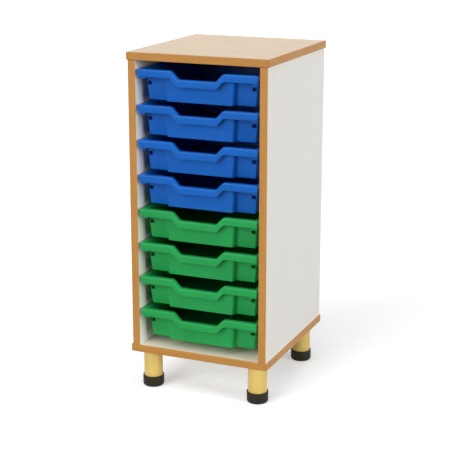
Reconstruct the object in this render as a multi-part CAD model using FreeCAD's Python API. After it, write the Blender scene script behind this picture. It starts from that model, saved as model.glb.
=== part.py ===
"""School tray unit: a white and beech carcass on four round legs, with shallow plastic trays on runners.

Millimetres. +Z is up, the front faces -Y, and the origin is on the floor under the middle of the unit.
"""
import FreeCAD, Part
import math
import os

from FreeCAD import Vector

# Trays
TRAY_COUNT = 8
TRAY_WIDTH = 312.0
TRAY_DEPTH = 376.0
TRAY_HEIGHT = 77.0
TRAY_GAP = 9.3
ABOVE_TRAYS = 21.0
BELOW_TRAYS = 20.0
TRAY_WALL = 2.2
TRAY_FLOOR = 2.5
RIM_THICKNESS = 3.0
RIM_OVERHANG = 8.0
RIM_CORNER = 3.5
RIM_ROUND = 1.4
SIDE_DRAFT = 9.0
FRONT_DRAFT = 5.0
BAY_DRAFT = 6.5
TUB_CORNER = 6.0
TUB_ROUND = 2.5
LIP_HEIGHT = 19.5
LIP_THICKNESS = 2.5
LIP_CORNER = 5.5
LIP_CORNER_RUNOUT = 0.4
LIP_ROUND = 1.0
SCOOP_DEPTH = 20.0
SCOOP_MOUTH = 138.0
SCOOP_FLOOR = 100.0
SCOOP_ROUND = 10.0
BAY_SETBACK = 13.0
BAY_WIDTH = 183.0
BAY_FLARE = 5.0
BAY_CORNER = 3.0
FLANK_SETBACK = 28.0
SHELF_DEPTH = 14.0
SLOPE_DROP = 20.0
STOP_TAB_BACK = 10.5
STOP_TAB_WIDTH = 18.0
STOP_TAB_DROP = 24.5
STOP_TAB_CORNER = 6.0
POCKET_WIDTH = 12.0
POCKET_HEIGHT = 9.5
POCKET_DEPTH = 14.0
POCKET_DROP = 31.0
POCKET_EDGE = 2.0
TRAY_TRAVEL = 280.0
LUG_WIDTH = 2.5
LUG_LENGTH = 8.0
LUG_DROP = 10.0

# Boards and edging
BOARD = 19.0
OVERHANG = 4.0
EDGING = 2.0
EDGING_ROUND = 1.4
SIDE_GAP = 5.0
BACK_GAP = 9.0
BACK_THICKNESS = 6.0
BACK_RECESS = 11.0
GROOVE_DEPTH = 7.0
GROOVE_CLEARANCE = 0.2
HOLE_END_SPACE = 0.5

# Dowels
DOWEL_DIAMETER = 8.0
DOWEL_IN_SIDE = 20.0
DOWEL_IN_BOARD = 12.0
DOWEL_CLEARANCE = 0.1
DOWELS_PER_JOINT = 3
DOWEL_INSET = 45.0

# Runners
RUNNER_GAP = 0.3
RUNNER_WALL = 3.0
RUNNER_HEIGHT = 21.0
RUNNER_BACK = 8.0
RUNNER_ROUND = 1.0
RUNNER_PAD = 6.0
RUNNER_PAD_GAP = 0.8
LUG_GAP = 0.5
SCREW_DIAMETER = 3.5
SCREW_LENGTH = 16.0
SCREW_HEAD_DIAMETER = 7.0
SCREW_HEAD = 2.2
SCREW_CLEARANCE = 0.1
SCREW_INSET = 45.0
SCREWS_PER_RUNNER = 3

# Legs
LEG_HEIGHT = 100.0
LEG_DIAMETER = 48.0
LEG_WALL = 2.0
LEG_INSET_X = 40.0
LEG_INSET_Y = 42.0
FOOT_WALL = 2.9
FOOT_HEIGHT = 29.0
FOOT_FLOOR = 10.0
FOOT_ROUND = 6.5
FOOT_RIM_ROUND = 1.2
FOOT_CLEARANCE = 0.1
PLUG_LENGTH = 22.0
PLUG_CLEARANCE = 0.1
STUD_DIAMETER = 10.0
STUD_CLEARANCE = 0.1
INSERT_WALL = 2.0
INSERT_LENGTH = 13.0
INSERT_CLEARANCE = 0.1

# The most of a wall that a rounded edge may take
ROUND_SHARE = 0.7

# How near a point must be to a plane, or to an arc, to lie on it
NEAR = 1e-6
NEAR_ARC = 1e-4

# Worked out from the sizes above
CUT = 1.0
TRAY_PITCH = TRAY_HEIGHT + TRAY_GAP
INNER_WIDTH = TRAY_WIDTH + 2 * SIDE_GAP
INNER_HEIGHT = ABOVE_TRAYS + TRAY_COUNT * TRAY_PITCH - TRAY_GAP + BELOW_TRAYS
SIDE_OUTER = INNER_WIDTH / 2 + BOARD
WIDTH = 2 * (SIDE_OUTER + OVERHANG)
DEPTH = TRAY_DEPTH + BACK_GAP + BACK_THICKNESS + BACK_RECESS
FRONT = -DEPTH / 2
REAR = DEPTH / 2
BASE_TOP = LEG_HEIGHT + BOARD
TOP_UNDERSIDE = BASE_TOP + INNER_HEIGHT
TOTAL_HEIGHT = TOP_UNDERSIDE + BOARD
BACK_FRONT = REAR - BACK_RECESS - BACK_THICKNESS
TUB_HALF = TRAY_WIDTH / 2 - RIM_OVERHANG
TUB_REAR = TRAY_DEPTH - RIM_OVERHANG
RUNNER_FRONT = STOP_TAB_BACK + RUNNER_GAP
RUNNER_REAR = TRAY_DEPTH - RUNNER_BACK
LUG_FRONT = RUNNER_FRONT + RUNNER_PAD + TRAY_TRAVEL
FOOT_DIAMETER = LEG_DIAMETER + 2 * (FOOT_CLEARANCE + FOOT_WALL)
SIDES = {"left": -1, "right": 1}
CORNERS = {"front_left": (-1, -1), "front_right": (1, -1), "rear_left": (-1, 1), "rear_right": (1, 1)}


def tray_top(number):
    """Height of the rim of a tray, counted from 1 at the top."""
    return TOP_UNDERSIDE - ABOVE_TRAYS - (number - 1) * TRAY_PITCH


def block(x0, x1, y0, y1, z0, z1):
    """A box between two values on each axis."""
    low = Vector(min(x0, x1), min(y0, y1), min(z0, z1))
    return Part.makeBox(abs(x1 - x0), abs(y1 - y0), abs(z1 - z0), low)


def upright(diameter, x, y, z0, z1):
    """An upright cylinder."""
    return Part.makeCylinder(diameter / 2, z1 - z0, Vector(x, y, z0))


def round_edges(shape, radius, chosen):
    """Round the edges whose middle point and direction the test accepts."""
    edges = []
    for edge in shape.Edges:
        first, last = edge.ParameterRange
        middle = edge.valueAt((first + last) / 2)
        if chosen(middle, edge):
            edges.append(edge)
    return shape.makeFillet(radius, edges)


def rounded_wire(corners, place):
    """A closed wire through flat corners (a, b, radius); place turns each flat point into a Vector."""
    count = len(corners)
    ends = []
    for index in range(count):
        before = Vector(*corners[index - 1][:2], 0)
        here = Vector(*corners[index][:2], 0)
        after = Vector(*corners[(index + 1) % count][:2], 0)
        radius = corners[index][2]
        to_before = (before - here).normalize()
        to_after = (after - here).normalize()
        half = to_before.getAngle(to_after) / 2
        reach = radius / math.tan(half)
        inward = (to_before + to_after).normalize()
        middle = here + inward * (radius / math.sin(half) - radius)
        ends.append((here + to_before * reach, middle, here + to_after * reach))
    edges = []
    for index in range(count):
        start, middle, end = (place(point.x, point.y) for point in ends[index])
        following = ends[(index + 1) % count][0]
        if corners[index][2] > 0:
            edges.append(Part.Arc(start, middle, end).toShape())
        edges.append(Part.LineSegment(end, place(following.x, following.y)).toShape())
    return Part.Wire(edges)


def flat(z):
    """Place flat points at a height, seen from above."""
    return lambda x, y: Vector(x, y, z)


def facing(y):
    """Place flat points on a plane that faces the front."""
    return lambda x, z: Vector(x, y, z)


def prism(wire, along):
    """The solid that a closed flat wire sweeps along a Vector."""
    return Part.Face(wire).extrude(along)


# Boards

def groove(shape):
    """Cut the groove for the back panel into a board."""
    side = INNER_WIDTH / 2 + GROOVE_DEPTH
    y0 = BACK_FRONT - GROOVE_CLEARANCE
    y1 = BACK_FRONT + BACK_THICKNESS + GROOVE_CLEARANCE
    return shape.cut(block(-side, side, y0, y1, BASE_TOP - GROOVE_DEPTH, TOP_UNDERSIDE + GROOVE_DEPTH))


def dowel_places():
    """Middle of each dowel: x, y and the height of the joint, with the way up into the side panel."""
    span = DEPTH - 2 * DOWEL_INSET
    for sign in SIDES.values():
        for index in range(DOWELS_PER_JOINT):
            x = sign * (SIDE_OUTER - BOARD / 2)
            y = FRONT + DOWEL_INSET + span * index / (DOWELS_PER_JOINT - 1)
            yield x, y, BASE_TOP, 1
            yield x, y, TOP_UNDERSIDE, -1


def dowel_set(clearance, end_space):
    """All the dowels, or their holes when the clearances are given."""
    solids = []
    for x, y, joint, into_side in dowel_places():
        low = DOWEL_IN_BOARD if into_side > 0 else DOWEL_IN_SIDE
        high = DOWEL_IN_SIDE if into_side > 0 else DOWEL_IN_BOARD
        diameter = DOWEL_DIAMETER + 2 * clearance
        solids.append(upright(diameter, x, y, joint - low - end_space, joint + high + end_space))
    return Part.makeCompound(solids)


def edging_strip(x0, x1, y0, y1, z0, z1):
    """A strip of edging; its edges on the outside of the board are rounded, and its joints left sharp."""
    def outside(middle, edge):
        at_side = abs(abs(middle.x) - WIDTH / 2) < NEAR
        at_end = abs(abs(middle.y) - DEPTH / 2) < NEAR
        level = min(abs(middle.z - z0), abs(middle.z - z1)) < NEAR
        return at_side or (at_end and level)

    return round_edges(block(x0, x1, y0, y1, z0, z1), min(EDGING_ROUND, ROUND_SHARE * EDGING), outside)


def edged_board(z0, z1):
    """The core of the top or the base, and its four strips by name; the side strips cover the others' ends."""
    half = WIDTH / 2
    inner = half - EDGING
    core = block(-inner, inner, FRONT + EDGING, REAR - EDGING, z0, z1)
    strips = {
        "front": edging_strip(-inner, inner, FRONT, FRONT + EDGING, z0, z1),
        "back": edging_strip(-inner, inner, REAR - EDGING, REAR, z0, z1),
        "left": edging_strip(-half, -inner, FRONT, REAR, z0, z1),
        "right": edging_strip(inner, half, FRONT, REAR, z0, z1),
    }
    return core, strips


def side_panel(sign):
    """A side panel behind its front strip, with the runner screws' pilot holes."""
    inner = sign * INNER_WIDTH / 2
    panel = block(inner, sign * SIDE_OUTER, FRONT + EDGING, REAR, BASE_TOP, TOP_UNDERSIDE)
    panel = groove(panel).cut(dowel_set(DOWEL_CLEARANCE, HOLE_END_SPACE))
    return panel.cut(Part.makeCompound(screw_holes(sign)))


def side_edging(sign):
    """The strip on the front of a side panel."""
    inner = sign * INNER_WIDTH / 2
    low, high = sorted((inner, sign * SIDE_OUTER))
    strip = block(low, high, FRONT, FRONT + EDGING, BASE_TOP, TOP_UNDERSIDE)

    def upright_front(middle, edge):
        return abs(middle.y - FRONT) < NEAR and BASE_TOP + NEAR < middle.z < TOP_UNDERSIDE - NEAR

    return round_edges(strip, min(EDGING_ROUND, ROUND_SHARE * EDGING), upright_front)


def back_panel():
    """The thin back, held in the grooves all round."""
    side = INNER_WIDTH / 2 + GROOVE_DEPTH - GROOVE_CLEARANCE
    return block(-side, side, BACK_FRONT, BACK_FRONT + BACK_THICKNESS,
                 BASE_TOP - GROOVE_DEPTH + GROOVE_CLEARANCE, TOP_UNDERSIDE + GROOVE_DEPTH - GROOVE_CLEARANCE)


# Runners

def screw_places(number):
    """Depth and height of the screws of one tray's runner."""
    first = RUNNER_FRONT + SCREW_INSET
    last = RUNNER_REAR - SCREW_INSET
    height = tray_top(number) - RIM_THICKNESS - (RUNNER_WALL + RUNNER_HEIGHT) / 2
    for index in range(SCREWS_PER_RUNNER):
        yield FRONT + first + (last - first) * index / (SCREWS_PER_RUNNER - 1), height


def across(diameter, x0, x1, y, z):
    """A cylinder that lies across the unit."""
    return Part.makeCylinder(diameter / 2, abs(x1 - x0), Vector(min(x0, x1), y, z), Vector(1, 0, 0))


def screw_holes(sign):
    """Pilot holes for all the screws of one side, through the runners and into the panel."""
    web = sign * (INNER_WIDTH / 2 - RUNNER_WALL)
    holes = []
    for number in range(1, TRAY_COUNT + 1):
        for y, z in screw_places(number):
            tip = web + sign * (SCREW_LENGTH + HOLE_END_SPACE)
            holes.append(across(SCREW_DIAMETER + 2 * SCREW_CLEARANCE, web - sign * CUT, tip, y, z))
    return holes


def runner_screws(sign):
    """The screws of one side: a round head on the runner's web and a shank in the panel."""
    web = sign * (INNER_WIDTH / 2 - RUNNER_WALL)
    screws = []
    for number in range(1, TRAY_COUNT + 1):
        for y, z in screw_places(number):
            head = across(SCREW_HEAD_DIAMETER, web - sign * SCREW_HEAD, web, y, z)
            shank = across(SCREW_DIAMETER, web - sign * SCREW_HEAD, web + sign * SCREW_LENGTH, y, z)
            screws.append(head.fuse(shank).removeSplitter())
    return Part.makeCompound(screws)


def runner(number, sign):
    """An angle whose ledge carries the tray's rim; a pad at its front end stops the tray's lug."""
    wall = INNER_WIDTH / 2
    top = tray_top(number) - RIM_THICKNESS
    y0 = FRONT + RUNNER_FRONT
    y1 = FRONT + RUNNER_REAR
    ledge_tip = TUB_HALF + LUG_WIDTH + LUG_GAP
    corner = min(RUNNER_ROUND, ROUND_SHARE * RUNNER_WALL / 2)
    corners = [(sign * wall, top, 0.0), (sign * wall, top - RUNNER_HEIGHT, 0.0),
               (sign * (wall - RUNNER_WALL), top - RUNNER_HEIGHT, corner),
               (sign * (wall - RUNNER_WALL), top - RUNNER_WALL, corner),
               (sign * ledge_tip, top - RUNNER_WALL, corner),
               (sign * ledge_tip, top, corner)]
    angle = prism(rounded_wire(corners, facing(y0)), Vector(0, y1 - y0, 0))
    pad_tip = TUB_HALF + RUNNER_PAD_GAP
    pad = block(sign * pad_tip, sign * (wall - RUNNER_WALL), y0, y0 + RUNNER_PAD, top - RUNNER_WALL, top)
    return angle.fuse(pad).removeSplitter().cut(Part.makeCompound(screw_holes(sign)))


# Trays

def tub_outline(inset, draft, z):
    """Plan of the tub at a height: draft runs from 0 at the rim to 1 at the floor."""
    side = TUB_HALF - SIDE_DRAFT * draft - inset
    rear = TUB_REAR - SIDE_DRAFT * draft - inset
    flank = FLANK_SETBACK + FRONT_DRAFT * draft + inset
    bay = BAY_SETBACK + FRONT_DRAFT * draft + inset
    bay_front = BAY_WIDTH / 2 - BAY_DRAFT * draft - inset
    bay_root = bay_front + BAY_FLARE
    outer = TUB_CORNER - inset
    corners = [(-side, rear, outer), (-side, flank, outer), (-bay_root, flank, BAY_CORNER),
               (-bay_front, bay, BAY_CORNER), (bay_front, bay, BAY_CORNER), (bay_root, flank, BAY_CORNER),
               (side, flank, outer), (side, rear, outer)]
    return rounded_wire(corners, flat(z))


def tub(inset, floor, above):
    """A tapered solid with the tub's plan, from its floor to a height above the rim."""
    def draft_at(z):
        return -z / TRAY_HEIGHT
    low = floor - TRAY_HEIGHT
    outlines = [tub_outline(inset, draft_at(z), z) for z in (low, above)]
    solid = Part.makeLoft(outlines, True, True)
    return round_edges(solid, TUB_ROUND, lambda middle, edge: abs(middle.z - low) < NEAR)


def flank_slope(inset, above):
    """The part of the tub that leans forward from the flanks up to the rim's front shelf."""
    half = TUB_HALF - SIDE_DRAFT * SLOPE_DROP / TRAY_HEIGHT - inset
    high = -RIM_THICKNESS + inset
    front = SHELF_DEPTH + inset
    foot = FLANK_SETBACK + FRONT_DRAFT * (SLOPE_DROP - high) / TRAY_HEIGHT + inset
    run_on = 1 + CUT / SLOPE_DROP
    end = front + run_on * (foot - front)
    low = high - run_on * SLOPE_DROP
    back = end + TUB_CORNER
    profile = [Vector(-half, front, above), Vector(-half, front, high), Vector(-half, end, low),
               Vector(-half, back, low), Vector(-half, back, above)]
    wire = Part.makePolygon(profile + profile[:1])
    return prism(wire, Vector(2 * half, 0, 0))


def scoop_line(lower, reach):
    """Corners of the front's wavy top line, lowered by a distance, from left to right."""
    mouth = SCOOP_MOUTH / 2
    floor = SCOOP_FLOOR / 2
    deep = -SCOOP_DEPTH - lower
    return [(-reach, -lower, 0.0), (-mouth, -lower, SCOOP_ROUND), (-floor, deep, SCOOP_ROUND),
            (floor, deep, SCOOP_ROUND), (mouth, -lower, SCOOP_ROUND), (reach, -lower, 0.0)]


def wavy(upper, lower, reach, y0, y1, end_corner):
    """A solid between two wavy lines, over a range of depth; its lower outer corners are rounded."""
    top = scoop_line(upper, reach)
    bottom = [(x, z, end_corner if abs(x) == reach else radius) for x, z, radius in scoop_line(lower, reach)]
    wire = rounded_wire(top + bottom[::-1], facing(y0))
    return prism(wire, Vector(0, y1 - y0, 0))


def rim_plan(inset, z0, z1):
    """A slab with the rim's rounded plan."""
    half = TRAY_WIDTH / 2 - inset
    radius = RIM_CORNER - inset
    corners = [(-half, TRAY_DEPTH - inset, radius), (-half, inset, radius),
               (half, inset, radius), (half, TRAY_DEPTH - inset, radius)]
    return prism(rounded_wire(corners, flat(z0)), Vector(0, 0, z1 - z0))


def front_lip():
    """The lip that hangs from the rim's front edge and returns round both corners."""
    reach = TRAY_WIDTH / 2 + LIP_CORNER_RUNOUT
    low = -SCOOP_DEPTH - LIP_HEIGHT - CUT
    band = wavy(0, LIP_HEIGHT, reach, 0, STOP_TAB_BACK, LIP_CORNER)
    ring = rim_plan(0, low, CUT).cut(rim_plan(LIP_THICKNESS, low, CUT))
    return band.common(ring)


def stop_tab(sign):
    """A tab under the rim's front corner that meets the end of the runner."""
    outer = TRAY_WIDTH / 2
    inner = outer - STOP_TAB_WIDTH
    corners = [(sign * inner, -RIM_THICKNESS / 2, 0.0), (sign * outer, -RIM_THICKNESS / 2, 0.0),
               (sign * outer, -STOP_TAB_DROP, STOP_TAB_CORNER), (sign * inner, -STOP_TAB_DROP, 0.0)]
    wire = rounded_wire(corners, facing(STOP_TAB_BACK - LIP_THICKNESS))
    return prism(wire, Vector(0, LIP_THICKNESS, 0))


def pocket(sign, skin):
    """A small square pocket in the flank's outer end, or the box around it when it has a skin."""
    draft = POCKET_DROP / TRAY_HEIGHT
    outer = TUB_HALF - SIDE_DRAFT * draft - POCKET_EDGE
    face = FLANK_SETBACK + FRONT_DRAFT * draft
    inner = outer - POCKET_WIDTH
    front = face + TRAY_WALL / 2 if skin else face - POCKET_DEPTH
    back = face + POCKET_DEPTH + skin
    high = -POCKET_DROP + skin
    low = -POCKET_DROP - POCKET_HEIGHT - skin
    return block(sign * (outer + skin), sign * (inner - skin), front, back, low, high)


def stop_lug(sign):
    """A lug under the rim that runs beside the ledge and meets the pad when the tray is out."""
    inner = TUB_HALF - TRAY_WALL
    outer = TUB_HALF + LUG_WIDTH
    back = LUG_FRONT + LUG_LENGTH
    return block(sign * inner, sign * outer, LUG_FRONT, back, -LUG_DROP, -RIM_THICKNESS / 2)


def on_rim_top(middle, edge):
    """True on the outer upper edge of the rim, along the sides, the back and the wavy front."""
    half = TRAY_WIDTH / 2
    corner_x = half - RIM_CORNER
    corner_y = RIM_CORNER if middle.y < TRAY_DEPTH / 2 else TRAY_DEPTH - RIM_CORNER
    off_corner = math.hypot(abs(middle.x) - corner_x, middle.y - corner_y) - RIM_CORNER
    in_corner = abs(middle.x) > corner_x and abs(middle.y - TRAY_DEPTH / 2) > TRAY_DEPTH / 2 - RIM_CORNER
    outside = min(abs(middle.y), abs(middle.y - TRAY_DEPTH), abs(abs(middle.x) - half))
    on_outside = outside < NEAR_ARC or (in_corner and abs(off_corner) < NEAR_ARC)
    top = scoop_height(middle.x) if middle.y < RIM_CORNER else 0.0
    return on_outside and middle.z > top - RIM_THICKNESS / 2


def on_lip_foot(middle, edge):
    """True on the lip's lower front edge."""
    on_front = abs(middle.y) < NEAR_ARC and abs(middle.x) < TRAY_WIDTH / 2 - RIM_CORNER
    return on_front and abs(middle.z - scoop_height(middle.x) + LIP_HEIGHT) < LIP_HEIGHT / 4


def scoop_height(x):
    """Height of the wavy top line with its corners left sharp."""
    mouth = SCOOP_MOUTH / 2
    floor = SCOOP_FLOOR / 2
    share = min(max((mouth - abs(x)) / (mouth - floor), 0.0), 1.0)
    return -SCOOP_DEPTH * share - (RIM_THICKNESS / 2 if 0 < share < 1 else 0)


def tray_shape():
    """One tray, with its front at y = 0 and its rim at z = 0."""
    bay_inner = BAY_SETBACK + FRONT_DRAFT * SCOOP_DEPTH / TRAY_HEIGHT + TRAY_WALL
    half_mouth = SCOOP_MOUTH / 2
    body = tub(0, 0, 0).fuse([rim_plan(0, -RIM_THICKNESS, 0), flank_slope(0, 0)])
    boxes = [pocket(sign, TRAY_WALL) for sign in SIDES.values()]
    hollow = tub(TRAY_WALL, TRAY_FLOOR, CUT).fuse(flank_slope(TRAY_WALL, CUT)).cut(Part.makeCompound(boxes))
    body = body.cut(hollow)
    mouth = wavy(-SCOOP_DEPTH - CUT, 0, half_mouth + SCOOP_ROUND, -CUT, bay_inner, 0.0)
    body = body.cut(mouth)
    shelf = wavy(0, RIM_THICKNESS, half_mouth + SCOOP_ROUND, LIP_THICKNESS / 2, bay_inner, 0.0)
    extras = [shelf, front_lip()]
    extras += [stop_tab(sign) for sign in SIDES.values()]
    extras += [stop_lug(sign) for sign in SIDES.values()]
    body = body.fuse(extras).removeSplitter()
    body = body.cut(Part.makeCompound([pocket(sign, 0) for sign in SIDES.values()]))
    rim_round = min(RIM_ROUND, ROUND_SHARE * min(RIM_THICKNESS, LIP_THICKNESS))
    body = round_edges(body, rim_round, on_rim_top)
    return round_edges(body, min(LIP_ROUND, ROUND_SHARE * LIP_THICKNESS), on_lip_foot)


# Legs

def leg_middle(corner):
    """Plan position of a leg."""
    sign_x, sign_y = CORNERS[corner]
    return sign_x * (WIDTH / 2 - LEG_INSET_X), sign_y * (DEPTH / 2 - LEG_INSET_Y)


def leg(corner):
    """A round tube from the floor of its foot to the underside of the base."""
    x, y = leg_middle(corner)
    tube = upright(LEG_DIAMETER, x, y, FOOT_FLOOR, LEG_HEIGHT)
    return tube.cut(upright(LEG_DIAMETER - 2 * LEG_WALL, x, y, FOOT_FLOOR - CUT, LEG_HEIGHT + CUT))


def foot(corner):
    """A rubber ferrule with a rounded sole."""
    x, y = leg_middle(corner)
    solid = upright(FOOT_DIAMETER, x, y, 0, FOOT_HEIGHT)
    sole_round = min(FOOT_ROUND, ROUND_SHARE * FOOT_FLOOR)
    rim_round = min(FOOT_RIM_ROUND, ROUND_SHARE * FOOT_WALL)
    solid = round_edges(solid, sole_round, lambda middle, edge: abs(middle.z) < NEAR)
    solid = round_edges(solid, rim_round, lambda middle, edge: abs(middle.z - FOOT_HEIGHT) < NEAR)
    return solid.cut(upright(LEG_DIAMETER + 2 * FOOT_CLEARANCE, x, y, FOOT_FLOOR, FOOT_HEIGHT + CUT))


def leg_plug(corner):
    """A plug in the top of the tube, bored for the stud."""
    x, y = leg_middle(corner)
    diameter = LEG_DIAMETER - 2 * LEG_WALL - 2 * PLUG_CLEARANCE
    plug = upright(diameter, x, y, LEG_HEIGHT - PLUG_LENGTH, LEG_HEIGHT)
    bore = STUD_DIAMETER + 2 * STUD_CLEARANCE
    return plug.cut(upright(bore, x, y, LEG_HEIGHT - PLUG_LENGTH - CUT, LEG_HEIGHT + CUT))


def insert_set(clearance):
    """The threaded inserts in the base, or the holes for them, filled, when a clearance is given."""
    solids = []
    for corner in CORNERS:
        x, y = leg_middle(corner)
        outer = STUD_DIAMETER + 2 * STUD_CLEARANCE + 2 * INSERT_WALL + 2 * clearance
        body = upright(outer, x, y, LEG_HEIGHT - clearance, LEG_HEIGHT + INSERT_LENGTH + clearance)
        if clearance == 0:
            bore = STUD_DIAMETER + 2 * STUD_CLEARANCE
            body = body.cut(upright(bore, x, y, LEG_HEIGHT - CUT, LEG_HEIGHT + INSERT_LENGTH + CUT))
        solids.append(body)
    return Part.makeCompound(solids)


def leg_studs():
    """The studs that screw through the plugs into the inserts."""
    studs = []
    for corner in CORNERS:
        x, y = leg_middle(corner)
        studs.append(upright(STUD_DIAMETER, x, y, LEG_HEIGHT - PLUG_LENGTH, LEG_HEIGHT + INSERT_LENGTH))
    return Part.makeCompound(studs)


def build():
    """Every piece by its name."""
    pieces = {}
    holes = dowel_set(DOWEL_CLEARANCE, HOLE_END_SPACE)
    top, top_strips = edged_board(TOP_UNDERSIDE, TOTAL_HEIGHT)
    base, base_strips = edged_board(LEG_HEIGHT, BASE_TOP)
    pieces["top_panel"] = groove(top).cut(holes)
    pieces["base_panel"] = groove(base).cut(holes).cut(insert_set(INSERT_CLEARANCE))
    for name in top_strips:
        pieces["top_edging_" + name] = top_strips[name]
        pieces["base_edging_" + name] = base_strips[name]
    pieces["back_panel"] = back_panel()
    pieces["carcass_dowels"] = dowel_set(0, 0)
    for side, sign in SIDES.items():
        pieces[side + "_side_panel"] = side_panel(sign)
        pieces[side + "_side_edging"] = side_edging(sign)
        pieces["runner_screws_" + side] = runner_screws(sign)
        for number in range(1, TRAY_COUNT + 1):
            pieces["runner_%s_%d" % (side, number)] = runner(number, sign)
    tray = tray_shape()
    for number in range(1, TRAY_COUNT + 1):
        placed = tray.copy()
        placed.translate(Vector(0, FRONT, tray_top(number)))
        pieces["tray_%d" % number] = placed
    for corner in CORNERS:
        pieces["leg_" + corner] = leg(corner)
        pieces["foot_" + corner] = foot(corner)
        pieces["leg_plug_" + corner] = leg_plug(corner)
    pieces["leg_studs"] = leg_studs()
    pieces["leg_inserts"] = insert_set(0)
    return pieces


def main():
    os.makedirs("parts", exist_ok=True)
    for name, shape in build().items():
        if not shape.isValid():
            raise RuntimeError(name + " is not a valid shape")
        shape.exportStep("parts/%s.step" % name)
        print(name, len(shape.Solids), "solids, %.1f cm3" % (shape.Volume / 1000))


main()
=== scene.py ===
"""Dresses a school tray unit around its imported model: boards, edging, runners, trays, legs and the stage.

Metres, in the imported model's frame: +Z is up, the front faces -Y and the floor is at Z = 0.
"""

import math

import bmesh
import bpy
from bpy.props import FloatProperty, FloatVectorProperty, PointerProperty
from bpy.types import Operator, Panel, PropertyGroup
from mathutils import Matrix, Vector


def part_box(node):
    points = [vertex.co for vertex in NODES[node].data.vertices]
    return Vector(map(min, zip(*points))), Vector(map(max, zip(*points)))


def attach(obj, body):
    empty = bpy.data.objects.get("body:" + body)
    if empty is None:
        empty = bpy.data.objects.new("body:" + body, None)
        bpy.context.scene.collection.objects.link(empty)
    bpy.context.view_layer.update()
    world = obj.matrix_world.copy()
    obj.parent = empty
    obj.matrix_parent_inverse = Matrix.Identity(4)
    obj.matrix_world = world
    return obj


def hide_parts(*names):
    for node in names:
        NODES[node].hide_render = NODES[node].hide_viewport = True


bl_info = {
    "name": "Tray Unit",
    "version": (1, 0, 0),
    "blender": (4, 5, 0),
    "location": "View3D > Sidebar > Tray Unit",
    "description": "Dresses a school tray unit: boards, edging, runners, trays, legs and stage",
    "category": "Object",
}

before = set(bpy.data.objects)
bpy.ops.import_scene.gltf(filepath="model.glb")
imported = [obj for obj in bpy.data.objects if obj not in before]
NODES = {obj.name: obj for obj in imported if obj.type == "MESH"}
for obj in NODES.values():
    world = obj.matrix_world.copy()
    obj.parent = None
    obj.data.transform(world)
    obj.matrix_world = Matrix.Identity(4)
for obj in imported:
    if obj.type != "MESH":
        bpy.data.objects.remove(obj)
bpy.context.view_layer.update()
MM = 0.001

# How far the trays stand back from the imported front, against rounding error
FRONT_SLACK = 0.02 * MM

# How near two places must be to count as one
NEAR = 0.01 * MM

# Steps in the round forms
LATHE_STEPS = 96
CORNER_STEPS = 6
EDGE_STEPS = 3
FLOOR_STEPS = 4
SOLE_STEPS = 10
RIM_STEPS = 5
SCOOP_COLUMNS = 95

# Edges that turn by more than this are shaded sharp
SMOOTH_ANGLE = math.radians(40)

# Edges of the rim and the lip that turn by more than this are rounded
FOLD_ANGLE = math.radians(38)

# How far round, in degrees, the upper edge of a ferrule is rounded
RIM_TURN = 112.5

# Faces whose normal points along the depth by this much look to the front
FACES_FRONT = 0.9

TRAY_LOW, TRAY_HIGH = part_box("tray_1")
TRAY_WIDTH, TRAY_DEPTH, TRAY_HEIGHT = TRAY_HIGH - TRAY_LOW
LEG_CORNERS = ("front_left", "front_right", "rear_left", "rear_right")
TRAY_NAMES = sorted(name for name in NODES if name.startswith("tray_"))
BLUE_TRAYS = TRAY_NAMES[:4]


def screen(red, green, blue):
    """Turn an 8-bit screen colour into linear light."""
    levels = (value / 255 for value in (red, green, blue))
    return tuple(v / 12.92 if v <= 0.04045 else ((v + 0.055) / 1.055) ** 2.4 for v in levels)


def colour(name, description, default):
    """A colour that a user may change."""
    return FloatVectorProperty(name=name, description=description, default=default, subtype="COLOR",
                               size=3, min=0.0, max=1.0)


def length(name, description, default):
    """A length that a user may change."""
    return FloatProperty(name=name, description=description, default=default, unit="LENGTH",
                         subtype="DISTANCE", min=0.0, precision=4)


def share(name, description, default):
    """A part of a whole that a user may change."""
    return FloatProperty(name=name, description=description, default=default, min=0.0, max=1.0)


def angle(name, description, degrees):
    """An angle that a user may change."""
    return FloatProperty(name=name, description=description, default=math.radians(degrees), subtype="ANGLE")


def strength(name, description, default):
    """Strength of a light that a user may change."""
    return FloatProperty(name=name, description=description, default=default, min=0.0)


def heading(name, description, default):
    """Direction of a light that a user may change."""
    return FloatVectorProperty(name=name, description=description, default=default, size=3,
                               subtype="DIRECTION")


class TrayUnitColours(PropertyGroup):
    """Colours of the finishes."""

    beech_face: colour("Beech face", "Laminate on the top", screen(230, 206, 176))
    beech_edge: colour("Beech edge", "Edging strips of the boards", screen(190, 133, 61))
    white_board: colour("White board", "Melamine on the panels", screen(232, 229, 222))
    # Painted light: the base's white melamine, tinted warmer and paler to stand for warm light bounced onto
    # its top.
    warm_board: colour("Base board, painted warm light", "Melamine on the base", screen(247, 232, 215))
    blue_plastic: colour("Blue plastic", "The upper trays", screen(16, 98, 189))
    green_plastic: colour("Green plastic", "The lower trays", screen(34, 157, 79))
    runner_plastic: colour("Runner plastic", "The runners inside", screen(214, 212, 206))
    leg_paint: colour("Leg paint", "The round legs", screen(224, 194, 110))
    rubber: colour("Rubber", "The ferrules under the legs", screen(28, 25, 13))
    dowel_wood: colour("Dowel wood", "The dowels in the boards", screen(214, 176, 128))


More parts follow.
